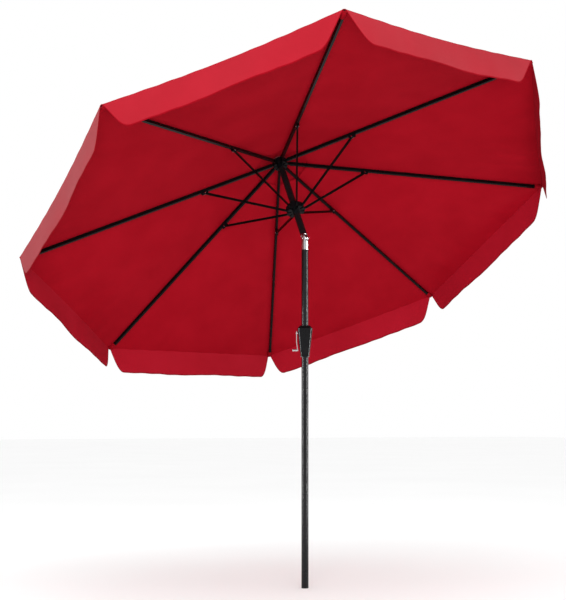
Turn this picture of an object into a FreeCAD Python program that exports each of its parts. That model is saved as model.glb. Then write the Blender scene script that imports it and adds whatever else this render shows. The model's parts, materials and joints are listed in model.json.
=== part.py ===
"""Tilting crank-lift patio umbrella, eight ribs, open and tilted.

Millimetres. The origin is the centre of the pole's foot, +Z runs up the lower pole, and the
canopy leans towards +X about a knuckle pin that lies along Y. Everything above the knuckle is
drawn in the upper frame, whose origin is the pin and whose Z is the upper pole's axis.
"""
import FreeCAD, Part
import math
import os

V = FreeCAD.Vector
X, Y, Z = V(1, 0, 0), V(0, 1, 0), V(0, 0, 1)
RIBS = 8
STEP = 360.0 / RIBS

DIMENSIONS = {
    "pole_radius": 19.0,
    "pole_wall": 1.6,
    "knuckle_height": 1886.0,
    "joint_height": 980.0,
    "swage_length": 110.0,
    "upper_length": 543.7,
    "tilt_angle": 28.4,
    "rib_droop": 15.77,
    "rib_circle": 32.0,
    "canopy_reach": 1557.0,
    "rib_stop": 56.0,
    "rib_width": 12.0,
    "rib_height": 20.0,
    "strut_station": 468.0,
    "strut_offset": 17.0,
    "strut_width": 8.0,
    "strut_height": 12.0,
    "runner_drop": 343.0,
    "runner_circle": 46.0,
    "pivot_radius": 2.5,
    "pivot_gap": 0.05,
    "eye_width": 8.0,
    "eye_radius": 8.0,
    "hub_radius": 42.0,
    "hub_height": 36.0,
    "runner_radius": 52.0,
    "runner_height": 34.0,
    "cloth": 1.5,
    "cloth_lift": 11.0,
    "vent_radius": 165.0,
    "cap_radius": 275.0,
    "valance_drop": 152.0,
    "tongue_width": 15.6,
    "knuckle_round": 17.0,
    "rivet_radius": 4.0,
    "knuckle_skirt": 66.0,
    "case_bottom": 1227.0,
    "case_height": 170.0,
    "case_low_half": 23.5,
    "case_high_half": 41.5,
    "case_high_depth": 35.0,
    "crank_height": 1358.0,
    "crank_throw": 95.0,
    "shaft_radius": 4.0,
    "spool_radius": 12.0,
    "cord_radius": 1.2,
    "finial_radius": 50.0,
    "button_radius": 5.0,
}

os.makedirs("parts", exist_ok=True)
doc = FreeCAD.newDocument("patio_umbrella")
sheet = doc.addObject("Spreadsheet::Sheet", "Dimensions")
for row, (alias, value) in enumerate(DIMENSIONS.items(), start=1):
    sheet.set("A%d" % row, alias)
    sheet.set("B%d" % row, "%g" % value)
    sheet.setAlias("B%d" % row, alias)
doc.recompute()


def size(alias):
    """The value of one cell of the sheet."""
    return float(sheet.get(alias))


def turned(axis, angle):
    return FreeCAD.Placement(V(0, 0, 0), FreeCAD.Rotation(axis, angle))


def moved(x, y, z):
    return FreeCAD.Placement(V(x, y, z), FreeCAD.Rotation())


def bind(item, **sizes):
    """Binds properties to expressions over the sheet's aliases, written with a leading dot."""
    for prop, text in sizes.items():
        item.setExpression(prop, text.replace("$", "Dimensions."))
    return item


def cylinder(radius, height, place=None):
    item = doc.addObject("Part::Cylinder", "Cylinder")
    bind(item, Radius=radius, Height=height)
    if place:
        item.Placement = place
    return item


def box(length, width, height, place=None):
    """A box centred on its own frame in Y and standing on it in X and Z."""
    item = doc.addObject("Part::Box", "Box")
    bind(item, Length=length, Width=width, Height=height)
    doc.recompute()
    centred = moved(0, -item.Width.Value / 2, 0)
    item.Placement = (place or moved(0, 0, 0)).multiply(centred)
    return item


def fuse(*items):
    joined = doc.addObject("Part::MultiFuse", "Fuse")
    joined.Shapes = list(items)
    return joined


def cut(base, *tools):
    result = doc.addObject("Part::Cut", "Cut")
    result.Base = base
    result.Tool = tools[0] if len(tools) == 1 else fuse(*tools)
    return result


def common(first, second):
    result = doc.addObject("Part::Common", "Common")
    result.Base = first
    result.Tool = second
    return result


def plain(shape):
    item = doc.addObject("Part::Feature", "Shape")
    item.Shape = shape
    return item


def group(*items):
    """Separate solids of one kind that share a node."""
    doc.recompute()
    return plain(Part.makeCompound([item.Shape for item in items]))


sub_parts = []


def sub_part(label, item, place=None):
    """Names a finished piece and puts it in its place."""
    item.Label = label
    if place:
        item.Placement = place
    sub_parts.append(item)
    return item


# ---- frames -----------------------------------------------------------------------------
UPPER = moved(0, 0, size("knuckle_height")).multiply(turned(Y, size("tilt_angle")))
CRANK_AZIMUTH = 56.0
CRANK = turned(Z, CRANK_AZIMUTH)
LENGTH = size("upper_length")
DROOP = math.radians(size("rib_droop"))


def rib_azimuth(number):
    return STEP / 2 + STEP * (number - 1)


def rib_plane(number):
    """The upright plane of a rib in the upper frame: X outwards, Z along the pole."""
    return UPPER.multiply(turned(Z, rib_azimuth(number)))


def rib_frame(number):
    """A rib's own frame: origin on its hub pivot, X along the rib."""
    pivot = FreeCAD.Placement(V(size("rib_circle"), 0, LENGTH), FreeCAD.Rotation(Y, size("rib_droop")))
    return rib_plane(number).multiply(pivot)


STRUT_TOP = (
    size("rib_circle") + size("strut_station") * math.cos(DROOP) - size("strut_offset") * math.sin(DROOP),
    LENGTH - size("strut_station") * math.sin(DROOP) - size("strut_offset") * math.cos(DROOP),
)
STRUT_FOOT = (size("runner_circle"), LENGTH - size("runner_drop"))
STRUT_LENGTH = math.dist(STRUT_TOP, STRUT_FOOT)
STRUT_SLOPE = math.degrees(math.atan2(STRUT_TOP[1] - STRUT_FOOT[1], STRUT_FOOT[0] - STRUT_TOP[0]))


def strut_frame(number):
    """A strut's own frame: origin on its rib pivot, X towards the runner."""
    pivot = FreeCAD.Placement(V(STRUT_TOP[0], 0, STRUT_TOP[1]), FreeCAD.Rotation(Y, STRUT_SLOPE))
    return rib_plane(number).multiply(pivot)


# ---- pole -------------------------------------------------------------------------------
ACROSS = turned(X, -90)
TUBE_BORE = "$pole_radius - $pole_wall"
# the upper knuckle's collar, just clear of the round ears at every tilt
SHOULDER_LOW, SHOULDER_TOP = 18.3, 22.3


def foot_plug():
    disc = cylinder(TUBE_BORE + " - 0.05", "3")
    stem = cylinder(TUBE_BORE + " - 2", "22", moved(0, 0, 3))
    hollow = cylinder(TUBE_BORE + " - 4.5", "19", moved(0, 0, 6))
    sub_part("foot_plug", cut(fuse(disc, stem), hollow))


def lower_tube():
    """Straight tube whose top end is swaged down to slip inside the middle tube."""
    skin = cylinder("$pole_radius", "$joint_height")
    swage = cylinder(TUBE_BORE + " - 0.1", "$joint_height + $swage_length")
    bore = cylinder(TUBE_BORE, "$joint_height - 12")
    neck = cylinder(TUBE_BORE + " - 0.1 - $pole_wall", "$joint_height + $swage_length")
    sub_part("lower_pole_tube", cut(fuse(skin, swage), fuse(bore, neck)))


def middle_tube():
    """Tube with a rolled bell at its lower end, where the lower tube's swage goes in."""
    start = size("joint_height") + 0.3
    length = "$knuckle_height - $knuckle_skirt - $joint_height - 0.3"
    bell = cylinder("$pole_radius + 0.7", "8")
    tube = cut(fuse(cylinder("$pole_radius", length), bell), cylinder(TUBE_BORE, length))
    tube.Placement = moved(0, 0, start)
    shaft_way = cylinder("$shaft_radius + 0.6", "$pole_radius * 4")
    place = CRANK.multiply(moved(-2 * size("pole_radius"), 0, size("crank_height")))
    shaft_way.Placement = place.multiply(turned(Y, 90))
    sub_part("middle_pole_tube", cut(tube, shaft_way))


def upper_tube():
    start = SHOULDER_TOP + 0.3
    length = "$upper_length - $hub_height / 2 - %g" % (start + 0.2)
    tube = cut(cylinder("$pole_radius", length), cylinder(TUBE_BORE, length))
    sub_part("upper_pole_tube", tube, UPPER.multiply(moved(0, 0, start)))


def lower_knuckle():
    """Skirt the size of the pole, a spigot that goes down into it, and two round ears."""
    top = size("knuckle_height")
    skirt = cylinder("$pole_radius", "$knuckle_skirt", moved(0, 0, top - size("knuckle_skirt")))
    spigot = cylinder(TUBE_BORE + " - 0.05", "60", moved(0, 0, top - size("knuckle_skirt") - 55))
    ear_post = cylinder("$pole_radius", "$knuckle_round", moved(0, 0, top))
    ear_round = cylinder("$knuckle_round", "60", moved(0, -30, top).multiply(ACROSS))
    slot = box("60", "$tongue_width + 0.6", "60", moved(-30, 0, top - size("knuckle_round") - 1))
    rivet_way = cylinder("$rivet_radius", "60", moved(0, -30, top).multiply(ACROSS))
    cord_way = cylinder("6", "200", moved(0, 0, top - 150))
    pocket = cylinder("$button_radius + 0.1", "30", moved(0, 0, top - 42).multiply(turned(Y, -90)))
    body = cut(fuse(skirt, spigot, common(ear_post, ear_round)), slot, rivet_way, cord_way, pocket)
    sub_part("lower_knuckle", body)


def upper_knuckle():
    """Tongue between the ears, a shoulder and a spigot that goes up into the upper tube."""
    lying = moved(0, -size("tongue_width") / 2, 0).multiply(ACROSS)
    tongue = cylinder("$knuckle_round - 0.4", "$tongue_width", lying)
    web_place = moved(0.4 - size("knuckle_round"), 0, 0)
    web = box("2 * $knuckle_round - 0.8", "$tongue_width", "%g" % SHOULDER_TOP, web_place)
    shoulder = cylinder("$pole_radius", "%g" % (SHOULDER_TOP - SHOULDER_LOW), moved(0, 0, SHOULDER_LOW))
    spigot = cylinder(TUBE_BORE + " - 0.05", "50", moved(0, 0, SHOULDER_TOP - 1))
    rivet_way = cylinder("$rivet_radius + $pivot_gap", "60", moved(0, -30, 0).multiply(ACROSS))
    cord_slot = box("60", "5", "30", moved(-30, 0, -size("knuckle_round")))
    cord_way = cylinder("6", "80", moved(0, 0, 4))
    sub_part("upper_knuckle", cut(fuse(tongue, web, shoulder, spigot), rivet_way, cord_slot, cord_way), UPPER)


def knuckle_rivets():
    """One headed rivet through each ear; the lift cord passes between their inner ends."""
    both = []
    for side in (-1, 1):
        turn = turned(X, -90 * side)
        shank = cylinder("$rivet_radius", "$pole_radius - 3", turn.multiply(moved(0, 0, 3)))
        head = cylinder("$rivet_radius * 1.7", "2", turn.multiply(moved(0, 0, size("pole_radius") + 0.02)))
        neck = cylinder("$rivet_radius", "1", turn.multiply(moved(0, 0, size("pole_radius") - 0.5)))
        both.append(fuse(shank, head, neck))
    sub_part("knuckle_rivets", group(*both), moved(0, 0, size("knuckle_height")))


# ---- tilt button ------------------------------------------------------------------------
def tilt_button():
    """Push button in the knuckle's skirt on the side away from the lean, and its spring."""
    place = moved(0, 0, size("knuckle_height") - 42).multiply(turned(Y, -90))
    cap = cylinder("$button_radius", "11.5", moved(0, 0, 11))
    sub_part("tilt_button", cap, place.multiply(moved(0, 0, 11)))
    coil = Part.makeHelix(0.9, 2.8, 3.2)
    wire = Part.Wire(Part.makeCircle(0.4, V(3.2, 0, 0), Y))
    spring = Part.Wire(coil.Edges).makePipeShell([wire], True, True)
    sub_part("button_spring", plain(spring), place.multiply(moved(0, 0, 7.4)))


# ---- crank ------------------------------------------------------------------------------
def rounded_outline(half_x, half_y, height):
    """A rectangle whose corners are arcs of half its shorter half-side."""
    corner = 0.55 * min(half_x, half_y)
    edges = []
    lean = corner * (1 - math.sqrt(0.5))
    corners = [(1, 1), (-1, 1), (-1, -1), (1, -1)]
    spots = []
    for sx, sy in corners:
        first = V(sx * half_x, sy * (half_y - corner), height)
        middle = V(sx * (half_x - lean), sy * (half_y - lean), height)
        last = V(sx * (half_x - corner), sy * half_y, height)
        spots.append((first, middle, last) if sx * sy > 0 else (last, middle, first))
    for index, (first, middle, last) in enumerate(spots):
        edges.append(Part.Arc(first, middle, last).toShape())
        edges.append(Part.makeLine(last, spots[(index + 1) % 4][0]))
    return Part.Wire(edges)


def case_body(shrink):
    """The tapered crank case, or its hollow when shrunk by the wall's thickness."""
    base, tall = size("case_bottom"), size("case_height")
    low, high, deep = size("case_low_half"), size("case_high_half"), size("case_high_depth")
    outlines = [
        rounded_outline(low - shrink, low - shrink, base + shrink),
        rounded_outline(high - shrink, deep - shrink, base + tall - 16 - shrink / 2),
        rounded_outline(0.68 * high - shrink, 0.72 * deep - shrink, base + tall - shrink),
    ]
    return Part.makeLoft(outlines, True, True)


def crank_case():
    """Two moulded halves clamped round the pole, screwed together from the back."""
    wall = 2.5
    pole = Part.makeCylinder(size("pole_radius") + 0.1, 400, V(0, 0, size("case_bottom") - 100))
    axle = Part.makeCylinder(size("shaft_radius") + 0.5, 60, V(0, 0, size("crank_height")), X)
    body = case_body(0).cut(case_body(wall)).cut(pole).cut(axle)
    ways = []
    spots = [(sx * 26.0, size("case_bottom") + 149) for sx in (-1, 1)]
    spots += [(sx * 21.5, size("case_bottom") + 30) for sx in (-1, 1)]
    posts_front, posts_back, screws = [], [], []
    hull = case_body(0.5)
    for x, z in spots:
        post = Part.makeCylinder(4.0, 80, V(x, -40, z), Y).common(hull).cut(pole)
        front = post.common(Part.makeBox(20, 60, 20, V(x - 10, 0.05, z - 10)))
        back = post.common(Part.makeBox(20, 60, 20, V(x - 10, -60.05, z - 10)))
        ways.append(Part.makeCylinder(1.5, 60, V(x, -50, z), Y))
        posts_front.append(front)
        posts_back.append(back)
        depth = back.BoundBox.YMin
        screw = Part.makeCylinder(1.5, 24, V(x, depth + 1.5, z), Y)
        head = Part.makeCylinder(3.0, 2.5, V(x, depth - 0.5, z), Y)
        screws.append(screw.fuse(head))
    front = body.common(Part.makeBox(200, 100, 400, V(-100, 0.05, 1100)))
    back = body.common(Part.makeBox(200, 100, 400, V(-100, -100.05, 1100)))
    front = front.fuse(posts_front)
    back = back.fuse(posts_back)
    for screw in screws:
        front = front.cut(screw)
        back = back.cut(screw)
    sub_part("crank_case_front", plain(front), CRANK)
    sub_part("crank_case_back", plain(back), CRANK)
    sub_part("case_screws", plain(Part.makeCompound(screws)), CRANK)


def crank():
    """Shaft with the cord's spool inside the pole, the cranked arm and its free knob."""
    axis = CRANK.multiply(moved(0, 0, size("crank_height"))).multiply(turned(Y, 90))
    sub_part("crank_shaft", cylinder("$shaft_radius", "69"), axis.multiply(moved(0, 0, -20)))
    barrel = cylinder("$spool_radius - 3.5", "18", moved(0, 0, -9))
    flanges = [cylinder("$spool_radius", "1.6", moved(0, 0, z)) for z in (-9, 7.4)]
    way = cylinder("$shaft_radius", "40", moved(0, 0, -20))
    sub_part("cord_spool", cut(fuse(barrel, *flanges), way), axis)
    reach = size("crank_throw")
    side = [(44, 9), (48, 9), (48, -50), (41, -reach - 8), (37, -reach - 8), (44, -50)]
    outline = Part.makePolygon([V(x, -6, z) for x, z in side + side[:1]])
    arm = Part.Face(outline).extrude(V(0, 12, 0))
    boss = Part.makeCylinder(8, 5, V(43.5, 0, 0), X)
    pin_way = Part.makeCylinder(2.5, 30, V(30, 0, -reach), X)
    shaft_way = Part.makeCylinder(size("shaft_radius"), 80, V(0, 0, 0), X)
    rounder = Part.makeCylinder(13, 60, V(20, 0, 0), X)
    arm = arm.fuse(boss).cut(shaft_way).cut(pin_way)
    ends = Part.makeBox(60, 12, reach, V(20, -6, -reach))
    ends = ends.fuse(Part.makeCylinder(6, 60, V(20, 0, -reach), X)).fuse(rounder)
    arm = arm.common(ends)
    sub_part("crank_arm", plain(arm), CRANK.multiply(moved(0, 0, size("crank_height"))))
    profile = [(0, 36), (2.45, 36), (2.45, 43), (5.5, 43), (6.5, 47), (5.2, 58), (6.2, 66), (4.5, 69), (0, 69)]
    outline = Part.makePolygon([V(x, 0, z) for x, z in profile + profile[:1]])
    knob = Part.Face(outline).revolve(V(0, 0, 0), Z, 360)
    foot = CRANK.multiply(moved(0, 0, size("crank_height") - reach)).multiply(turned(Y, 90))
    sub_part("crank_knob", plain(knob), foot)


# ---- hub and runner -----------------------------------------------------------------------
def radial_slots(width, inner, outer, low, high):
    """One block per rib, standing between two radii and two heights."""
    blocks = []
    for number in range(1, RIBS + 1):
        block = Part.makeBox(outer - inner, width, high - low, V(inner, -width / 2, low))
        block.rotate(V(0, 0, 0), Z, rib_azimuth(number))
        blocks.append(block)
    return blocks


def tangent_rods(radius, circle, length, height):
    """One rod per rib across its plane, such as the ribs' pivot pins."""
    rods = []
    for number in range(1, RIBS + 1):
        rod = Part.makeCylinder(radius, length, V(circle, -length / 2, height), Y)
        rod.rotate(V(0, 0, 0), Z, rib_azimuth(number))
        rods.append(rod)
    return rods


def top_hub():
    """Slotted wheel on the pole's top with a rim at each face and a post for the finial."""
    tall, wide = size("hub_height"), size("hub_radius")
    low = LENGTH - tall / 2
    wheel = Part.makeCylinder(wide, tall, V(0, 0, low))
    collar = Part.makeCylinder(size("pole_radius") + 3, 14, V(0, 0, low - 14))
    post = Part.makeCylinder(9, 26, V(0, 0, low + tall))
    body = wheel.fuse([collar, post])
    body = body.cut(Part.makeCylinder(size("pole_radius") + 0.05, 14, V(0, 0, low - 14)))
    body = body.cut(Part.makeCylinder(14, tall - 8, V(0, 0, low)))
    body = body.cut(Part.makeCylinder(3, 20, V(0, 0, low + tall + 6)))
    slots = radial_slots(size("eye_width") + 1, 22.5, wide + 5, low - 1, low + tall - 5)
    body = body.cut(slots)
    body = body.cut(tangent_rods(size("pivot_radius"), size("rib_circle"), 15, LENGTH))
    sub_part("top_hub", plain(body), UPPER)
    pins = tangent_rods(size("pivot_radius"), size("rib_circle"), 14, LENGTH)
    sub_part("hub_pins", plain(Part.makeCompound(pins)), UPPER)


def runner():
    """Sliding collar; its slots open outwards and downwards for the struts' feet."""
    tall, wide = size("runner_height"), size("runner_radius")
    middle = LENGTH - size("runner_drop")
    low = middle - tall / 2 + 4
    body = Part.makeCylinder(wide, tall, V(0, 0, low))
    neck = Part.makeCylinder(27, 26, V(0, 0, low + tall))
    ring = Part.makeTorus(27, 3.5, V(0, 0, low + tall + 20))
    body = body.fuse([neck, ring])
    body = body.cut(Part.makeCylinder(size("pole_radius") + 0.4, 200, V(0, 0, low - 60)))
    eye = size("strut_height") / 2 + 1.2
    slots = radial_slots(size("strut_width") + 1.2, 27.0, wide + 5, low - 1, middle + eye + 7)
    body = body.cut(slots)
    notch = size("pivot_radius") + 0.2
    for number in range(1, RIBS + 1):
        block = Part.makeBox(2 * notch, 15, middle - low + 1, V(size("runner_circle") - notch, -7.5, low - 1))
        block.rotate(V(0, 0, 0), Z, rib_azimuth(number))
        body = body.cut(block)
    body = body.cut(tangent_rods(notch, size("runner_circle"), 15, middle))
    sub_part("runner", plain(body), UPPER)


def finial():
    """Flat round cap that clamps the cloth down, with its screw."""
    base = LENGTH + size("hub_height") / 2 + 26.3
    wide = size("finial_radius")
    rim = [(3.1, 0), (wide - 6, 0), (wide, 4), (wide, 8), (wide - 7, 13)]
    rim += [(20, 15), (17, 20), (8, 23), (3.1, 23)]
    outline = Part.makePolygon([V(x, 0, z) for x, z in rim + rim[:1]])
    body = Part.Face(outline).revolve(V(0, 0, 0), Z, 360)
    sub_part("finial", plain(body), UPPER.multiply(moved(0, 0, base)))
    screw = Part.makeCylinder(3, 40, V(0, 0, -17)).fuse(Part.makeCylinder(6, 3, V(0, 0, 23)))
    sub_part("finial_screw", plain(screw), UPPER.multiply(moved(0, 0, base)))


def pulley():
    """Grooved sheave inside the pole's top for the lift cord, on a cross pin."""
    height = LENGTH - size("hub_height") / 2 - 16
    grooved = [(2.05, -3), (9, -3), (7, 0), (9, 3), (2.05, 3)]
    outline = Part.makePolygon([V(x, 0, z) for x, z in grooved + grooved[:1]])
    wheel = Part.Face(outline).revolve(V(0, 0, 0), Z, 360)
    place = UPPER.multiply(moved(4, 0, height)).multiply(turned(X, 90))
    sub_part("pulley", plain(wheel), place)
    half = size("pole_radius") - size("pole_wall") - 1.1
    sub_part("pulley_pin", cylinder("2", "%g" % (2 * half)), place.multiply(moved(0, 0, -half)))


def lift_cord():
    """The cord's two straight runs inside the pole and the outer run down to the runner."""
    spool_top = size("crank_height") + size("spool_radius") - 3
    down = cylinder("$cord_radius", "%g" % (size("knuckle_height") - 1 - spool_top))
    sub_part("lift_cord_lower", down, moved(0, 0, spool_top))
    sheave = LENGTH - size("hub_height") / 2 - 16
    up = cylinder("$cord_radius", "%g" % (sheave - 11))
    tilt = math.atan2(-6.0, sheave)
    lean = turned(Y, math.degrees(tilt))
    sub_part("lift_cord_upper", up, UPPER.multiply(lean).multiply(moved(0, 0, 1)))
    runner_top = LENGTH - size("runner_drop") + size("runner_height") / 2 + 4 + 26.2
    hub_low = LENGTH - size("hub_height") / 2 - 14.3
    away = size("pole_radius") + 1.9
    run = cylinder("$cord_radius", "%g" % (hub_low - runner_top))
    sub_part("lift_cord_outer", run, UPPER.multiply(moved(away, 0, runner_top)))


# ---- ribs, struts and their fittings ------------------------------------------------------
RIB_START = 22.0


def rib(number):
    """Rectangular steel tube."""
    length = "$canopy_reach - $rib_stop - %g" % RIB_START
    bar = box(length, "$rib_width", "$rib_height")
    hollow = box(length, "$rib_width - 2", "$rib_height - 2", moved(0, 0, 1))
    tube = cut(bar, hollow)
    place = rib_frame(number).multiply(moved(RIB_START, 0, -size("rib_height") / 2))
    sub_part("rib_%d" % number, tube, place)


def rib_fittings(number):
    """The hub eye, the strut's bracket with its pin, and the tip cap, fixed to one rib."""
    half = size("eye_width") / 2
    eye = Part.makeCylinder(size("eye_radius"), 2 * half, V(0, -half, 0), Y)
    shank = Part.makeBox(60, 2 * half, 2 * size("eye_radius"), V(0, -half, -size("eye_radius")))
    eye = eye.fuse(shank)
    eye = eye.cut(Part.makeCylinder(size("pivot_radius") + size("pivot_gap"), 20, V(0, -10, 0), Y))
    station, low = size("strut_station"), -size("rib_height") / 2
    outer = size("rib_width") / 2 + 1.6
    saddle = Part.makeBox(40, 2 * outer, 24, V(station - 20, -outer, low - 11))
    tube = Part.makeBox(60, size("rib_width"), size("rib_height"), V(station - 30, -size("rib_width") / 2, low))
    room = size("strut_width") + 0.8
    gap = Part.makeBox(60, room, 30, V(station - 30, -room / 2, low - 30))
    saddle = saddle.cut(tube).cut(gap)
    pivot = V(station, -outer - 1, -size("strut_offset"))
    saddle = saddle.cut(Part.makeCylinder(size("pivot_radius"), 2 * outer + 2, pivot, Y))
    pin_end = V(station, -outer - 0.8, -size("strut_offset"))
    pin = Part.makeCylinder(size("pivot_radius"), 2 * outer + 1.6, pin_end, Y)
    for side in (-1, 1):
        start = outer if side > 0 else -outer - 1.6
        head = Part.makeCylinder(4, 1.6, V(station, start, -size("strut_offset")), Y)
        pin = pin.fuse(head)
    stop = size("canopy_reach") - size("rib_stop")
    cap = Part.makeBox(size("rib_stop") - 8, 11, 12, V(stop, -5.5, -4))
    plug = Part.makeBox(20, size("rib_width") - 2.1, size("rib_height") - 2.1,
                        V(stop - 20, 1.05 - size("rib_width") / 2, 1.05 - size("rib_height") / 2))
    cap = cap.fuse(plug)
    sub_part("rib_fittings_%d" % number, plain(Part.makeCompound([eye, saddle, pin, cap])), rib_frame(number))


def strut(number):
    """Folded steel channel with an eye at the rib and a cross pin at the runner."""
    tall, wide = size("strut_height"), size("strut_width")
    body = Part.makeBox(STRUT_LENGTH, wide, tall, V(0, -wide / 2, -tall / 2))
    for x in (0, STRUT_LENGTH):
        body = body.fuse(Part.makeCylinder(tall / 2, wide, V(x, -wide / 2, 0), Y))
    trough = Part.makeBox(STRUT_LENGTH - 36, wide - 2.4, tall, V(18, 1.2 - wide / 2, 1.2 - tall / 2))
    body = body.cut(trough)
    body = body.cut(Part.makeCylinder(size("pivot_radius") + size("pivot_gap"), 20, V(0, -10, 0), Y))
    body = body.fuse(Part.makeCylinder(size("pivot_radius"), 12, V(STRUT_LENGTH, -6, 0), Y))
    sub_part("strut_%d" % number, plain(body), strut_frame(number))


# ---- cloth --------------------------------------------------------------------------------
def cloth_point(reach, turn, number=1):
    """A point of the cloth's underside in the upper frame.

    reach runs along the ribs' radius and turn is the angle from the rib; between two ribs the
    panel is flat, so the middle of a panel lies on the chord.
    """
    half = math.radians(STEP / 2)
    radius = reach * math.cos(half) / math.cos(half - math.radians(abs(turn)))
    height = LENGTH - (reach - size("rib_circle")) * math.tan(DROOP) + size("cloth_lift") / math.cos(DROOP)
    angle = math.radians(rib_azimuth(number) + turn)
    return V(radius * math.cos(angle), radius * math.sin(angle), height)


def solid_between(low, high):
    """A closed solid from two matching outlines."""
    faces = [Part.Face(Part.makePolygon(low + low[:1])), Part.Face(Part.makePolygon(high + high[:1]))]
    for index in range(len(low)):
        after = (index + 1) % len(low)
        corner = [low[index], low[after], high[after], high[index]]
        faces.append(Part.Face(Part.makePolygon(corner + corner[:1])))
    return Part.makeSolid(Part.makeShell(faces))


EDGE_REACH = size("rib_circle") + size("canopy_reach") * math.cos(DROOP)
# the valance hangs halfway between the upper pole's direction and a plumb line
SWAY = math.radians(size("tilt_angle") / 2)
PANEL_SPLIT = 0.02


def canopy_panel(number):
    """The cloth that one rib carries: half of each panel beside it, with its valance."""
    up = V(0, 0, size("cloth"))
    middle = STEP / 2 - PANEL_SPLIT
    solids = []
    for side in (-1, 1):
        inner = [cloth_point(size("vent_radius"), side * turn, number) for turn in (0, middle)]
        outer = [cloth_point(EDGE_REACH, side * turn, number) for turn in (middle, 0)]
        low = inner + outer
        solids.append(solid_between(low, [point + up for point in low]))
        edge = outer[::-1]
        out = (edge[0] + edge[1]) * 0.5
        out = V(out.x, out.y, 0).normalize() * size("cloth")
        drop = V(math.sin(SWAY), 0, -math.cos(SWAY)) * size("valance_drop")
        hem = [edge[0] + up, edge[1] + up, edge[1] + drop, edge[0] + drop]
        solids.append(solid_between(hem, [point + out for point in hem]))
    sub_part("canopy_panel_%d" % number, plain(Part.makeCompound(solids)), UPPER)


def vent_cap():
    """The small second canopy over the vent, an eight-sided shell round the finial's post."""
    base = LENGTH + size("hub_height") / 2
    rim = cloth_point(size("cap_radius"), 0).z + size("cloth") + 4
    rings = []
    for lift in (0, size("cloth")):
        for reach, height in ((size("cap_radius"), rim), (9.2, base + 24)):
            ring = []
            for number in range(1, RIBS + 1):
                angle = math.radians(rib_azimuth(number))
                ring.append(V(reach * math.cos(angle), reach * math.sin(angle), height + lift))
            rings.append(Part.makePolygon(ring + ring[:1]))
    under = Part.makeLoft(rings[:2], True, True)
    over = Part.makeLoft(rings[2:], True, True)
    post_way = Part.makeCylinder(9.3, 60, V(0, 0, base))
    sub_part("vent_cap", plain(over.cut(under).cut(post_way)), UPPER)


def tie_strap():
    """Webbing strap that lies on the cloth beside one seam when the canopy is open."""
    number = 8
    reach, length = 1130.0, 350.0
    turn = 2.2
    start = cloth_point(reach - length / 2, turn, number)
    end = cloth_point(reach + length / 2, turn * 0.72, number)
    along = (end - start)
    across = V(0, 0, 1).cross(along).normalize() * 12.5
    up = V(0, 0, size("cloth") + 3)
    low = [start - across + up, end - across + up, end + across + up, start + across + up]
    high = [point + V(0, 0, 2.4) for point in low]
    sub_part("tie_strap", plain(solid_between(low, high)), UPPER)


foot_plug()
lower_tube()
middle_tube()
upper_tube()
lower_knuckle()
upper_knuckle()
knuckle_rivets()
tilt_button()
crank_case()
crank()
top_hub()
runner()
finial()
pulley()
lift_cord()
for rib_number in range(1, RIBS + 1):
    rib(rib_number)
    rib_fittings(rib_number)
    strut(rib_number)
    canopy_panel(rib_number)
vent_cap()
tie_strap()

doc.recompute()
for item in doc.Objects:
    if "Invalid" in item.State or "Error" in item.State:
        raise RuntimeError("%s failed: %s" % (item.Label, item.State))
for item in sub_parts:
    if item.Shape.isNull() or not item.Shape.isValid():
        raise RuntimeError("%s has no valid shape" % item.Label)
    for body in item.Shape.Solids:
        if body.Volume <= 0:
            raise RuntimeError("%s is inside out" % item.Label)
    item.Shape.exportStep("parts/%s.step" % item.Label)
print("sub-parts:", len(sub_parts), "strut length %.1f, slope %.2f" % (STRUT_LENGTH, STRUT_SLOPE))
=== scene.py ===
"""Looks of the tilting patio umbrella: cloth, trims, materials, light and camera. Metres."""
import bpy
import json
import math
from mathutils import Matrix, Vector


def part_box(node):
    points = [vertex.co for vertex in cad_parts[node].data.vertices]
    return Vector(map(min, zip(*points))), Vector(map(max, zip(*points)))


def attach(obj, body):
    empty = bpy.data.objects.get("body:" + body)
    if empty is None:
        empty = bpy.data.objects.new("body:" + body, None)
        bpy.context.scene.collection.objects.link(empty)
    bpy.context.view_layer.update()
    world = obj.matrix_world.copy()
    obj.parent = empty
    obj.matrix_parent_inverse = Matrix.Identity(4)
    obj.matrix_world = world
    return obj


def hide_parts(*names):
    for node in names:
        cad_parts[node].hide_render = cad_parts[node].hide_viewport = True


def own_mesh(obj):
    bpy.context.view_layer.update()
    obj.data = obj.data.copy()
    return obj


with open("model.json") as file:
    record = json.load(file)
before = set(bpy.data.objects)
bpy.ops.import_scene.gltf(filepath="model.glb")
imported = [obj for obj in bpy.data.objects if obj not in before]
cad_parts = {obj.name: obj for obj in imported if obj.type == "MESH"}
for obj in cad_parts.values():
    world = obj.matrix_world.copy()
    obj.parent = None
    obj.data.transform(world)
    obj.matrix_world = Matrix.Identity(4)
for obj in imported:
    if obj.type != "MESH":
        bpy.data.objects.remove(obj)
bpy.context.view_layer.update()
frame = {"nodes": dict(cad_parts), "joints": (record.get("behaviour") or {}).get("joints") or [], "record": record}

# ---- sizes shared with the frame ----------------------------------------------------------
RIBS = 8
HALF = math.pi / RIBS  # half of the angle between two ribs
DROOP = math.radians(15.77)  # slope of an open rib, against a plane square to the upper pole
RIB_CIRCLE = 0.032  # radius of the circle of hub pivots
HUB_HEIGHT = 0.5437  # hub pivots above the tilt pin
REACH = 1.557  # hub pivot to the rim's corner, along the rib
RIM = RIB_CIRCLE + REACH * math.cos(DROOP)
CLOTH_LIFT = 0.011  # cloth's underside above the hub pivots' line
CLOTH = 0.0012  # thickness
VENT = 0.165  # radius of the open middle of the main cloth
CAP = 0.275  # radius of the vent cap
VALANCE = 0.152  # height of the hanging edge
POCKET_START = REACH - 0.056  # where the tip pocket begins, along the rib

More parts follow.
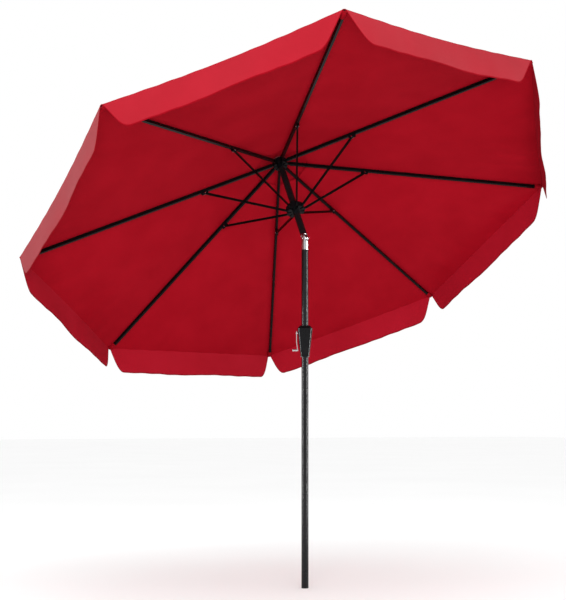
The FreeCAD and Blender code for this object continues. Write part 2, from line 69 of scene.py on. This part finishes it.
# ---- frames from the joints ---------------------------------------------------------------
joints = {joint["name"]: joint for joint in frame["joints"]}
PIN = Vector(joints["pole_tilt"]["pos_m"])
POLE_UP = -Vector(joints["runner_slide"]["axis"])
SIDE = Vector((0.0, 1.0, 0.0))
LEAN = SIDE.cross(POLE_UP)
SWAY = math.acos(POLE_UP.z) / 2  # the valances hang halfway between the pole's tilt and plumb


def matrix(x, y, z, origin):
    """A frame from three unit vectors and an origin."""
    return Matrix.Translation(origin) @ Matrix((x, y, z)).transposed().to_4x4()


UPPER = matrix(LEAN, SIDE, POLE_UP, PIN)


def rib_joint(number):
    """The hinge of a rib at the hub; the first rib's drives the whole canopy."""
    return joints["canopy_fold" if number == 1 else "rib_%d_fold" % number]


def rib_angle(number):
    """Direction of a rib round the upper pole."""
    return HALF * (2 * number - 1)


def rib_frame(number):
    """Origin on the rib's hub pivot, X along the rib, Y across it, Z away from its underside."""
    joint = rib_joint(number)
    across = Vector(joint["axis"])
    outwards = across.cross(POLE_UP)
    along = outwards * math.cos(DROOP) - POLE_UP * math.sin(DROOP)
    return matrix(along, across, along.cross(across), Vector(joint["pos_m"]))


def smooth(value):
    """A soft step from 0 to 1."""
    value = min(1.0, max(0.0, value))
    return value * value * (3 - 2 * value)


# ---- materials ----------------------------------------------------------------------------
class Nodes:
    """A material's node tree, built a node at a time."""

    def __init__(self, name):
        self.material = bpy.data.materials.new(name)
        self.material.use_nodes = True
        self.tree = self.material.node_tree
        self.shader = self.tree.nodes["Principled BSDF"]
        self.place = self.tree.nodes.new("ShaderNodeTexCoord").outputs["Object"]

    def add(self, kind, **inputs):
        node = self.tree.nodes.new("ShaderNode" + kind)
        for key, value in inputs.items():
            socket = node.inputs[key.replace("_", " ")]
            if isinstance(value, bpy.types.NodeSocket):
                self.tree.links.new(value, socket)
            else:
                socket.default_value = value
        return node

    def noise(self, scale, detail=3.0, stretch=(1, 1, 1)):
        """Cloudy noise in the piece's own space."""
        mapped = self.add("Mapping", Vector=self.place, Scale=stretch).outputs[0]
        return self.add("TexNoise", Vector=mapped, Scale=scale, Detail=detail).outputs[0]

    def shades(self, factor, dark, light, low=0.3, high=0.7):
        """A colour between dark and light."""
        ramp = self.add("ValToRGB", Fac=factor)
        first, last = ramp.color_ramp.elements
        first.position, last.position = low, high
        first.color, last.color = (*dark, 1), (*light, 1)
        return ramp.outputs[0]

    def spread(self, factor, low, high):
        """A number between low and high."""
        node = self.add("MapRange", Value=factor)
        node.inputs["To Min"].default_value = low
        node.inputs["To Max"].default_value = high
        return node.outputs[0]

    def bump(self, height, strength, distance):
        """Relief, laid over any relief that is already there."""
        node = self.add("Bump", Height=height, Strength=strength, Distance=distance)
        if self.shader.inputs["Normal"].is_linked:
            earlier = self.shader.inputs["Normal"].links[0].from_socket
            self.tree.links.new(earlier, node.inputs["Normal"])
        self.tree.links.new(node.outputs[0], self.shader.inputs["Normal"])

    def set(self, **inputs):
        for key, value in inputs.items():
            socket = self.shader.inputs[key.replace("_", " ")]
            if isinstance(value, bpy.types.NodeSocket):
                self.tree.links.new(value, socket)
            else:
                socket.default_value = value
        return self


def woven(name, dark, light, threads=45.0, sheen=0.1, shine=0.12):
    """Woven cloth: crossed sets of fine threads, slow shade changes and soft dents."""
    nodes = Nodes(name)
    cloudy = nodes.noise(5.0, 4.0)
    nodes.set(Base_Color=nodes.shades(cloudy, dark, light))
    nodes.set(Roughness=nodes.spread(nodes.noise(40.0), 0.72, 0.88))
    nodes.set(Sheen_Weight=sheen, Sheen_Roughness=0.5, Specular_IOR_Level=shine)
    weave = None
    for direction in ("X", "Y", "Z"):
        wave = nodes.add("TexWave", Vector=nodes.place, Scale=threads, Distortion=0.6)
        wave.bands_direction = direction
        if weave is None:
            weave = wave.outputs[1]
        else:
            weave = join_maximum(nodes, weave, wave.outputs[1])
    nodes.bump(weave, 0.25, 0.0004)
    nodes.bump(nodes.noise(7.0, 2.0), 0.35, 0.005)
    return nodes.material


def join_maximum(nodes, first, second):
    """The larger of two values, which lays one set of threads over another."""
    node = nodes.add("Math")
    node.operation = "MAXIMUM"
    nodes.tree.links.new(first, node.inputs[0])
    nodes.tree.links.new(second, node.inputs[1])
    return node.outputs[0]


def powder_coat(name, colour, shine=0.2):
    """Satin powder coat on steel: fine orange peel and a few duller patches."""
    nodes = Nodes(name)
    nodes.set(Base_Color=nodes.shades(nodes.noise(12.0), colour, [c * 1.6 for c in colour]))
    nodes.set(Roughness=nodes.spread(nodes.noise(30.0), 0.15, 0.22), Specular_IOR_Level=shine)
    nodes.bump(nodes.noise(900.0, 2.0), 0.12, 0.0004)
    return nodes.material


def moulded(name, colour, rough=(0.09, 0.14), shine=0.13):
    """Glossy moulded plastic with a faint flow texture."""
    nodes = Nodes(name)
    nodes.set(Base_Color=nodes.shades(nodes.noise(20.0), colour, [c * 1.5 for c in colour]))
    nodes.set(Roughness=nodes.spread(nodes.noise(60.0), *rough), Specular_IOR_Level=shine)
    nodes.bump(nodes.noise(260.0, 2.0), 0.05, 0.0005)
    return nodes.material


def brushed(name, colour, rough=(0.16, 0.3)):
    """Bright metal with fine drawn lines along its length."""
    nodes = Nodes(name)
    lines = nodes.noise(300.0, 3.0, (1, 1, 0.04))
    nodes.set(Base_Color=nodes.shades(lines, [c * 0.85 for c in colour], colour))
    nodes.set(Roughness=nodes.spread(lines, *rough), Metallic=1.0)
    nodes.bump(lines, 0.08, 0.0003)
    return nodes.material


RED = woven("red_polyester", (0.235, 0.0022, 0.0075), (0.265, 0.0032, 0.0095), sheen=0.0, shine=0.02)
# The cloth's outside: the same red with a lighter base colour, painted light for the daylight falling on the top;
# its sheen is the outer face's own.
RED_TOP_PAINTED_LIGHT = woven("red_polyester_outside_painted_light", (0.26, 0.0045, 0.012), (0.29, 0.006, 0.015), sheen=0.07)
# The valance's inner side gets a lighter base colour: painted light for the daylight that comes through its single
# layer.
RED_HEM_PAINTED_LIGHT = woven("red_polyester_valance_painted_light", (0.29, 0.0045, 0.013), (0.32, 0.0055, 0.016), sheen=0.0, shine=0.04)
RED_EDGE = woven("red_binding", (0.19, 0.0018, 0.006), (0.22, 0.0025, 0.0075), sheen=0.0, shine=0.02)
STRAP = woven("black_webbing", (0.012, 0.012, 0.013), (0.03, 0.03, 0.032), 20.0)
COAT = powder_coat("black_powder_coat", (0.004, 0.004, 0.0045))
RIB_COAT = powder_coat("black_rib_coat", (0.002, 0.002, 0.0022), 0.06)
GLOSS = moulded("black_gloss_plastic", (0.003, 0.003, 0.0035))
MATT = moulded("black_satin_plastic", (0.0025, 0.0025, 0.003), (0.2, 0.3), 0.06)
BRIGHT = brushed("bright_aluminium", (0.52, 0.52, 0.53))
CORD = woven("white_braid", (0.5, 0.5, 0.48), (0.66, 0.66, 0.63), 75.0)


# ---- mesh helpers -------------------------------------------------------------------------
CREASE = math.radians(40)  # faces that meet at more than this are not smoothed together


def mesh_piece(name, points, faces, materials, picks=None):
    """A piece from points and faces; picks names each face's material."""
    mesh = bpy.data.meshes.new(name)
    mesh.from_pydata([tuple(point) for point in points], [], faces)
    for material in materials:
        mesh.materials.append(material)
    if picks:
        for polygon, pick in zip(mesh.polygons, picks):
            polygon.material_index = pick
    mesh.polygons.foreach_set("use_smooth", [True] * len(mesh.polygons))
    mesh.set_sharp_from_angle(angle=CREASE)
    mesh.update()
    piece = bpy.data.objects.new(name, mesh)
    bpy.context.scene.collection.objects.link(piece)
    return piece


class Shell:
    """Gathers grids of points into closed thin shells."""

    def __init__(self):
        self.points = []
        self.faces = []
        self.picks = []

    def grid(self, rows, thickness, pick=lambda row, column: 0, flip=False, over=0, under=0):
        """A grid of points as a closed shell that grows along its own normals.

        pick chooses a material for each cell. Where it says 0, the grown layer takes the one
        named by over and the first layer the one named by under.
        """
        tall, wide = len(rows), len(rows[0])
        start = len(self.points)
        outer = []
        for i in range(tall):
            for j in range(wide):
                along = rows[min(i + 1, tall - 1)][j] - rows[max(i - 1, 0)][j]
                across = rows[i][min(j + 1, wide - 1)] - rows[i][max(j - 1, 0)]
                normal = along.cross(across).normalized()
                outer.append(rows[i][j] + normal * (-thickness if flip else thickness))
        self.points += [point for row in rows for point in row] + outer
        count = tall * wide

        def at(i, j, layer=0):
            return start + layer * count + i * wide + j

        def face(corners, chosen):
            self.faces.append(corners[::-1] if flip else corners)
            self.picks.append(chosen)

        for i in range(tall - 1):
            for j in range(wide - 1):
                chosen = pick(i, j)
                face([at(i, j), at(i, j + 1), at(i + 1, j + 1), at(i + 1, j)], chosen or under)
                face([at(i, j, 1), at(i + 1, j, 1), at(i + 1, j + 1, 1), at(i, j + 1, 1)], chosen or over)
        for j in range(wide - 1):
            face([at(0, j), at(0, j, 1), at(0, j + 1, 1), at(0, j + 1)], pick(0, j))
            last = tall - 1
            face([at(last, j), at(last, j + 1), at(last, j + 1, 1), at(last, j, 1)], pick(last - 1, j))
        for i in range(tall - 1):
            face([at(i, 0), at(i + 1, 0), at(i + 1, 0, 1), at(i, 0, 1)], pick(i, 0))
            last = wide - 1
            face([at(i, last), at(i, last, 1), at(i + 1, last, 1), at(i + 1, last)], pick(i, last - 1))

    def piece(self, name, materials):
        return mesh_piece(name, self.points, self.faces, materials, self.picks)


# ---- canopy -------------------------------------------------------------------------------
SAG = 0.014  # how far the middle of a panel hangs below its ribs, at the rim
UNEVEN = 0.16  # share by which the sag differs between panels
HOLLOW_EDGE = 0.016  # how far the rim is drawn in between two corners
HOLLOW_FROM = 0.55  # share of the rim's radius where that begins
PULL = 0.0016  # depth of the small pulls towards the corners
SEAM_GAP = 0.0003  # between the cloth and what is sewn on it
SIDES = {1: "left", -1: "right"}  # the two half panels beside a rib


def rib_height(reach):
    """Height of the cloth's underside over a rib, in the upper frame."""
    return HUB_HEIGHT - (reach - RIB_CIRCLE) * math.tan(DROOP) + CLOTH_LIFT / math.cos(DROOP)


def cloth_point(number, side, reach, share, lift=0.0):
    """A point of the cloth's underside, share 0 over the rib and 1 in the middle of the panel.

    The panel sags between its ribs and its edge is hollow; small pulls run from the rim's
    corners towards the panel's middle.
    """
    belly = math.sin(math.pi / 2 * share)
    part = reach / RIM
    reach = reach - HOLLOW_EDGE * belly * smooth((part - HOLLOW_FROM) / (1 - HOLLOW_FROM))
    turn = rib_angle(number)
    rib = Vector((reach * math.cos(turn), reach * math.sin(turn), 0))
    turn += side * HALF
    chord = reach * math.cos(HALF)
    middle = Vector((chord * math.cos(turn), chord * math.sin(turn), 0))
    point = rib.lerp(middle, share)
    pull = PULL * math.sin(22 * share * (0.4 + part)) * math.sin(math.pi * share) * part ** 3
    panel = number if side > 0 else number - 1
    slack = 1 + UNEVEN * math.sin(2.1 * (panel % RIBS))
    point.z = rib_height(reach) - SAG * slack * part * belly - pull + lift
    return UPPER @ point


HANG = UPPER.to_3x3() @ Vector((math.sin(SWAY), 0, -math.cos(SWAY)))  # the way a valance hangs
NOTCH = 0.006  # bare edge beside a corner
STITCH = 0.0015  # from the notch to the valance's first points
ROUND = 0.03  # size of the rounded foot of a slanted end
SLANT_LOW, SLANT_HIGH = 0.05, 0.11  # width of a slanted end on the lowest and the highest rib
BINDING = 0.007  # height of the bound hem
LEAST_DROP = 0.002  # a valance's height where it begins
RIPPLE_SLOW, RIPPLE_QUICK, CORNER_CURL = 0.0055, 0.003, 0.008  # depths of a valance's waves
BELLY = 0.006  # how far a valance swells outwards

EDGE = RIM * math.sin(HALF)  # half of a panel's edge


def slant(number):
    """Width of the slanted end of a valance: more open on the ribs that point up."""
    return SLANT_LOW + (SLANT_HIGH - SLANT_LOW) * (1 - math.cos(rib_angle(number))) / 2


def valance_drop(number, along):
    """How far the valance hangs at a distance from its corner: a slanted end with a rounded foot."""
    wide = slant(number)
    straight = VALANCE * (along - NOTCH) / wide
    soft = VALANCE * ROUND / wide
    full = VALANCE - straight
    if full > soft:
        return max(0.0, straight)
    if full < -soft:
        return VALANCE
    return VALANCE - (full + soft) ** 2 / (4 * soft)


def valance_wave(panel, place):
    """Slow uneven waves in the valance of a panel, with place from -1 to 1 along its edge."""
    start = 2.4 * panel
    slow = RIPPLE_SLOW * math.sin(4.3 * place + start)
    quick = RIPPLE_QUICK * math.sin(8.9 * place - 1.7 * start)
    return slow + quick + CORNER_CURL * math.sin(start + 1) * abs(place) ** 6


def valance_rows(number, side):
    """Rows of points down the valance, from its corner to the middle of its panel."""
    columns = 44
    rows = 12
    turn = rib_angle(number) + side * HALF
    outwards = UPPER.to_3x3() @ Vector((math.cos(turn), math.sin(turn), 0))
    panel = (number if side > 0 else number - 1) % RIBS
    grid = [[] for _ in range(rows + 2)]
    for column in range(columns + 1):
        share = (column / columns) ** 1.5
        along = NOTCH + STITCH + (EDGE - NOTCH - STITCH) * share
        top = cloth_point(number, side, RIM, along / EDGE, CLOTH)
        deep = max(LEAST_DROP, valance_drop(number, along))
        binding = min(BINDING, deep * 0.4)
        wave = valance_wave(panel, side * (along / EDGE - 1))
        for row in range(rows + 2):
            down = (deep - binding) * row / rows if row <= rows else deep
            ripple = wave * (down / VALANCE) ** 1.3
            belly = BELLY * math.sin(math.pi / 2 * along / EDGE) * math.sin(math.pi / 2 * down / VALANCE)
            grid[row].append(top + HANG * down + outwards * (ripple + belly))
    return grid


def canopy_cloth(number, side):
    """The half panel beside a rib that the rib carries, with its half of the valance."""
    shell = Shell()
    rings, columns = 40, 26
    rows = []
    for ring in range(rings + 1):
        reach = VENT + (RIM - VENT) * ring / rings
        rows.append([cloth_point(number, side, reach, column / columns) for column in range(columns + 1)])
    shell.grid(rows, CLOTH, flip=side < 0, over=2)
    hem = valance_rows(number, side)
    last = len(hem) - 2
    shell.grid(hem, CLOTH, lambda row, column: 1 if row >= last else 0, flip=side > 0, under=2, over=3)
    piece = shell.piece("canopy_cloth_%d_%s" % (number, SIDES[side]), [RED, RED_EDGE, RED_TOP_PAINTED_LIGHT, RED_HEM_PAINTED_LIGHT])
    body = "rib_%d" % number
    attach(piece, body)
    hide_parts("canopy_panel_%d" % number)
    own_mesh(piece)


SEAM_WIDTH, SEAM_LENGTH, SEAM_THICK = 0.014, 1.42, 0.0008
SEAM_START, SEAM_SHORT = 0.004, 0.006  # from the vent's edge, and short of the whole run


def rib_seam(number):
    """The felled seam over a rib, on the cloth's top."""
    steps = 30
    reaches = [VENT + SEAM_START + (RIM - VENT - SEAM_SHORT) * step / steps for step in range(steps + 1)]
    spine = [cloth_point(number, 1, reach, 0.0, CLOTH + SEAM_GAP) for reach in reaches]
    rows = []
    for index, point in enumerate(spine):
        ahead = spine[min(index + 1, steps)] - spine[max(index - 1, 0)]
        across = ahead.cross(POLE_UP).normalized() * SEAM_WIDTH / 2
        rows.append([point - across, point - across * 0.4, point + across * 0.4, point + across])
    shell = Shell()
    shell.grid(rows, SEAM_THICK, flip=True)
    piece = shell.piece("seam_%d" % number, [RED_TOP_PAINTED_LIGHT])
    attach(piece, "rib_%d" % number)


POCKET_TOP = 0.0085  # the pocket's upper edges, above the rib's middle
POCKET_HOOPS = (  # place along the pocket, half width, depth below the rib's middle
    (0.0, 0.012, 0.0085),
    (0.012, 0.014, 0.0095),
    (0.03, 0.014, 0.0085),
    (0.046, 0.011, 0.004),
    (0.051, 0.008, -0.001),
)


def tip_pocket(number):
    """The small reinforced pocket under the cloth that holds the rib's tip."""
    place = rib_frame(number)
    steps = 12
    rows = []
    for along, half, deep in POCKET_HOOPS:
        hoop = []
        for step in range(steps + 1):
            turn = math.pi * step / steps
            height = POCKET_TOP - (deep + POCKET_TOP) * math.sin(turn) ** 0.7
            hoop.append(place @ Vector((POCKET_START + along, half * math.cos(turn), height)))
        rows.append(hoop)
    shell = Shell()
    shell.grid(rows, CLOTH)
    piece = shell.piece("tip_pocket_%d" % number, [RED_EDGE])
    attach(piece, "rib_%d" % number)


# ---- vent cap -----------------------------------------------------------------------------
POST = 0.009  # radius of the finial's post
CROWN_HOLE = 0.011  # radius of the crown's hole round the post
CROWN = 0.075  # radius of the crown
CROWN_GAP = 0.0008  # between the crown and the sectors under it
CAP_INNER = 0.045  # radius where the sectors begin, under the crown
GATHER_START = 0.02  # radius where the gathers begin
CAP_TOP, CAP_LOW = HUB_HEIGHT + 0.0385, HUB_HEIGHT - 0.0515  # heights at the post and at the rim
CAP_SAG = 0.006  # how far the cone hangs below a straight line, halfway down


def cap_height(radius):
    """Height of the vent cap's cone in the upper frame."""
    share = (radius - POST) / (CAP - POST)
    return CAP_TOP + (CAP_LOW - CAP_TOP) * share - CAP_SAG * math.sin(math.pi * min(1.0, share))


def cap_point(turn, radius, lift=0.0):
    """A point of the vent cap's underside, with gathers that grow towards its rim."""
    share = (radius - GATHER_START) / (CAP - GATHER_START)
    waves = 0.0014 * math.cos(7 * turn) + 0.001 * math.cos(19 * turn + 0.6) + 0.0006 * math.sin(31 * turn)
    height = cap_height(radius) + share * waves + lift
    return UPPER @ Vector((radius * math.cos(turn), radius * math.sin(turn), height))


def cap_sector(number):
    """The eighth of the vent cap over a rib, bound at its rim."""
    rings, columns = 14, 24
    turns = [rib_angle(number) + HALF * (column / columns - 1) for column in range(2 * columns + 1)]
    rows = []
    for ring in range(rings + 1):
        radius = CAP_INNER + (CAP - CAP_INNER) * ring / rings
        rows.append([cap_point(turn, radius) for turn in turns])
    shell = Shell()
    shell.grid(rows, CLOTH, lambda row, column: 1 if row >= rings - 1 else 0, over=2)
    piece = shell.piece("cap_cloth_%d" % number, [RED, RED_EDGE, RED_TOP_PAINTED_LIGHT])
    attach(piece, "rib_%d" % number)
    if number == 1:
        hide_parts("vent_cap")
    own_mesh(piece)


def cap_crown():
    """The middle of the vent cap, clamped under the finial."""
    rings, columns = 8, 192
    lift = CLOTH + CROWN_GAP
    turns = [2 * math.pi * column / columns for column in range(columns + 1)]
    rows = []
    for ring in range(rings + 1):
        radius = CROWN_HOLE + (CROWN - CROWN_HOLE) * ring / rings
        rows.append([cap_point(turn, radius, lift) for turn in turns])
    shell = Shell()
    shell.grid(rows, CLOTH)
    piece = shell.piece("cap_crown", [RED_TOP_PAINTED_LIGHT])
    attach(piece, "upper_pole")


STRAP_RIB = 8
STRAP_MIDDLE = 1.13  # radius of the strap's middle on the cloth
STRAP_LENGTH, STRAP_WIDTH, STRAP_THICK = 0.35, 0.024, 0.0014
STRAP_GAP, STRAP_STEP = 0.0012, 0.0022  # cloth to the first layer, and layer to layer


def tie_strap():
    """Doubled webbing strap lying on the cloth beside the seam of the eighth rib."""
    steps = 40
    shell = Shell()
    for layer, shift in ((0, -0.002), (1, 0.003)):
        rows = []
        for step in range(steps + 1):
            share = step / steps
            reach = STRAP_MIDDLE + STRAP_LENGTH * (share - 0.5)
            spot = 0.10 - 0.03 * share
            lift = CLOTH + STRAP_GAP + layer * STRAP_STEP + 0.0006 * math.sin(9 * share)
            point = cloth_point(STRAP_RIB, 1, reach, spot, lift)
            ahead = cloth_point(STRAP_RIB, 1, reach + 0.01, spot, lift) - point
            across = ahead.cross(POLE_UP).normalized()
            point = point + across * (shift + 0.002 * math.sin(4 * share))
            edge, rib = across * (STRAP_WIDTH / 2), across * (STRAP_WIDTH / 6)
            rows.append([point - edge, point - rib, point + rib, point + edge])
        shell.grid(rows, STRAP_THICK, flip=True)
    piece = shell.piece("tie_strap_webbing", [STRAP])
    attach(piece, "rib_%d" % STRAP_RIB)
    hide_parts("tie_strap")
    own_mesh(piece)


def button_spring():
    """The coil behind the tilt button, in the knuckle, carried whole by the lower pole."""
    low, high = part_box("button_spring")
    middle = (low + high) / 2
    wire, turns, sides, steps = 0.0004, 3, 8, 24
    coil = (high.z - low.z) / 2 - wire
    run = high.x - low.x - 2 * wire
    along = Vector((1, 0, 0))
    rings = turns * steps + 1
    points = []
    for ring in range(rings):
        turn = 2 * math.pi * ring / steps
        out = Vector((0, math.cos(turn), math.sin(turn)))
        centre = Vector((high.x - wire - run * ring / (rings - 1), middle.y, middle.z)) + out * coil
        for side in range(sides):
            around = 2 * math.pi * side / sides
            points.append(centre + wire * (out * math.cos(around) + along * math.sin(around)))
    faces = [list(range(sides))[::-1], list(range((rings - 1) * sides, rings * sides))]
    for start in range(0, (rings - 1) * sides, sides):
        for side in range(sides):
            after = (side + 1) % sides
            faces.append([start + side, start + after, start + sides + after, start + sides + side])
    piece = mesh_piece("button_spring_coil", points, faces, [BRIGHT])
    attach(piece, "lower_pole")
    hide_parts("button_spring")
    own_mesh(piece)


for rib_number in range(1, RIBS + 1):
    canopy_cloth(rib_number, 1)
    canopy_cloth(rib_number, -1)
    rib_seam(rib_number)
    tip_pocket(rib_number)
    cap_sector(rib_number)
cap_crown()
tie_strap()
button_spring()

# ---- materials of the frame's own pieces ----------------------------------------------------
FINISH = {
    "black_steel": COAT,
    "black_plastic": GLOSS,
    "bright_metal": BRIGHT,
    "red_cloth": RED,
    "black_webbing": STRAP,
    "white_cord": CORD,
}
SATIN = ("top_hub", "runner", "foot_plug", "cord_spool", "rib_fittings")


def finish_for(name, slot):
    """The material of a node of the frame."""
    if name.startswith(SATIN):
        return MATT
    if name.startswith(("rib_", "strut_")):
        return RIB_COAT
    return FINISH[slot]


for entry in frame["record"]["subparts"]:
    for place in frame["nodes"][entry["node"]].material_slots:
        place.material = finish_for(entry["node"], entry["material_slot"])

HEAD_RADIUS = 0.0043  # just over that of a rivet's head
BRACKET_SIDE = 0.0077  # just past the bracket's outer faces, measured from its middle


def bright_rivets(number):
    """The heads of the pin through a rib's bracket are plain metal."""
    node = frame["nodes"]["rib_fittings_%d" % number]
    joint = joints["strut_%d_fold" % number]
    centre, axis = Vector(joint["pos_m"]), Vector(joint["axis"])
    node.data.materials.append(BRIGHT)
    chosen = len(node.data.materials) - 1
    for polygon in node.data.polygons:
        offset = node.matrix_world @ polygon.center - centre
        beside = offset.dot(axis)
        if (offset - axis * beside).length < HEAD_RADIUS and abs(beside) > BRACKET_SIDE:
            polygon.material_index = chosen


for rib_number in range(1, RIBS + 1):
    bright_rivets(rib_number)

# ---- floor, light and camera ----------------------------------------------------------------
FLOOR = 80.0  # half of the floor's width
corners = [(-FLOOR, -FLOOR, 0), (FLOOR, -FLOOR, 0), (FLOOR, FLOOR, 0), (-FLOOR, FLOOR, 0)]
paper = Nodes("pale_floor")
paper.set(Base_Color=paper.shades(paper.noise(0.5), (0.94, 0.94, 0.94), (0.96, 0.96, 0.96)), Roughness=0.95)
floor = mesh_piece("floor", corners, [(0, 1, 2, 3)], [paper.material])

world = bpy.data.worlds.new("studio")
bpy.context.scene.world = world
world.use_nodes = True
world.node_tree.nodes["Background"].inputs["Color"].default_value = (1, 1, 1, 1)
world.node_tree.nodes["Background"].inputs["Strength"].default_value = 1.0


def soft_light(name, spot, target, size, power, cloth=True, gloss=True):
    """A rectangular lamp; cloth says if it lights rough surfaces, gloss if it shows in shiny ones."""
    light = bpy.data.lights.new(name, "AREA")
    light.shape = "RECTANGLE"
    light.size, light.size_y = size
    light.energy = power
    lamp = bpy.data.objects.new(name, light)
    bpy.context.scene.collection.objects.link(lamp)
    lamp.location = spot
    lamp.visible_diffuse = cloth
    lamp.visible_glossy = gloss
    lamp.rotation_euler = (Vector(target) - Vector(spot)).to_track_quat("-Z", "Y").to_euler()


CANOPY_MIDDLE = (0.2, 0.0, 2.0)
POLE_MIDDLE = (0, 0, 1.3)
STRIP = (0.45, 2.8)  # the tall narrow lamps that draw the streaks along the pole
soft_light("key", (-2.5, 1.5, 6.5), CANOPY_MIDDLE, (3.0, 3.0), 60, gloss=False)
soft_light("fill", (-5.6, 3.6, 1.6), CANOPY_MIDDLE, (4.0, 4.0), 400, gloss=False)
soft_light("left_strip", (1.35, 4.1, 1.3), POLE_MIDDLE, STRIP, 260, cloth=False)
soft_light("right_strip", (-3.3, -2.9, 1.3), POLE_MIDDLE, STRIP, 340, cloth=False)

CAMERA_AZIMUTH = math.radians(146.03)
CAMERA_PITCH = math.radians(7.84)
CAMERA_DISTANCE, CAMERA_HEIGHT = 5.7143, 0.8352
camera_data = bpy.data.cameras.new("camera")
camera_data.sensor_width = 36.0
camera_data.lens = 62.71
camera_data.shift_x = -0.0366
camera_data.shift_y = -0.0246
camera_data.clip_end = 300.0
camera = bpy.data.objects.new("camera", camera_data)
bpy.context.scene.collection.objects.link(camera)
camera_x = CAMERA_DISTANCE * math.cos(CAMERA_AZIMUTH)
camera_y = CAMERA_DISTANCE * math.sin(CAMERA_AZIMUTH)
camera.location = (camera_x, camera_y, CAMERA_HEIGHT)
facing = Vector((-math.cos(CAMERA_AZIMUTH), -math.sin(CAMERA_AZIMUTH), math.tan(CAMERA_PITCH)))
camera.rotation_euler = facing.to_track_quat("-Z", "Y").to_euler()
bpy.context.scene.camera = camera
bpy.context.scene.view_settings.view_transform = "Standard"
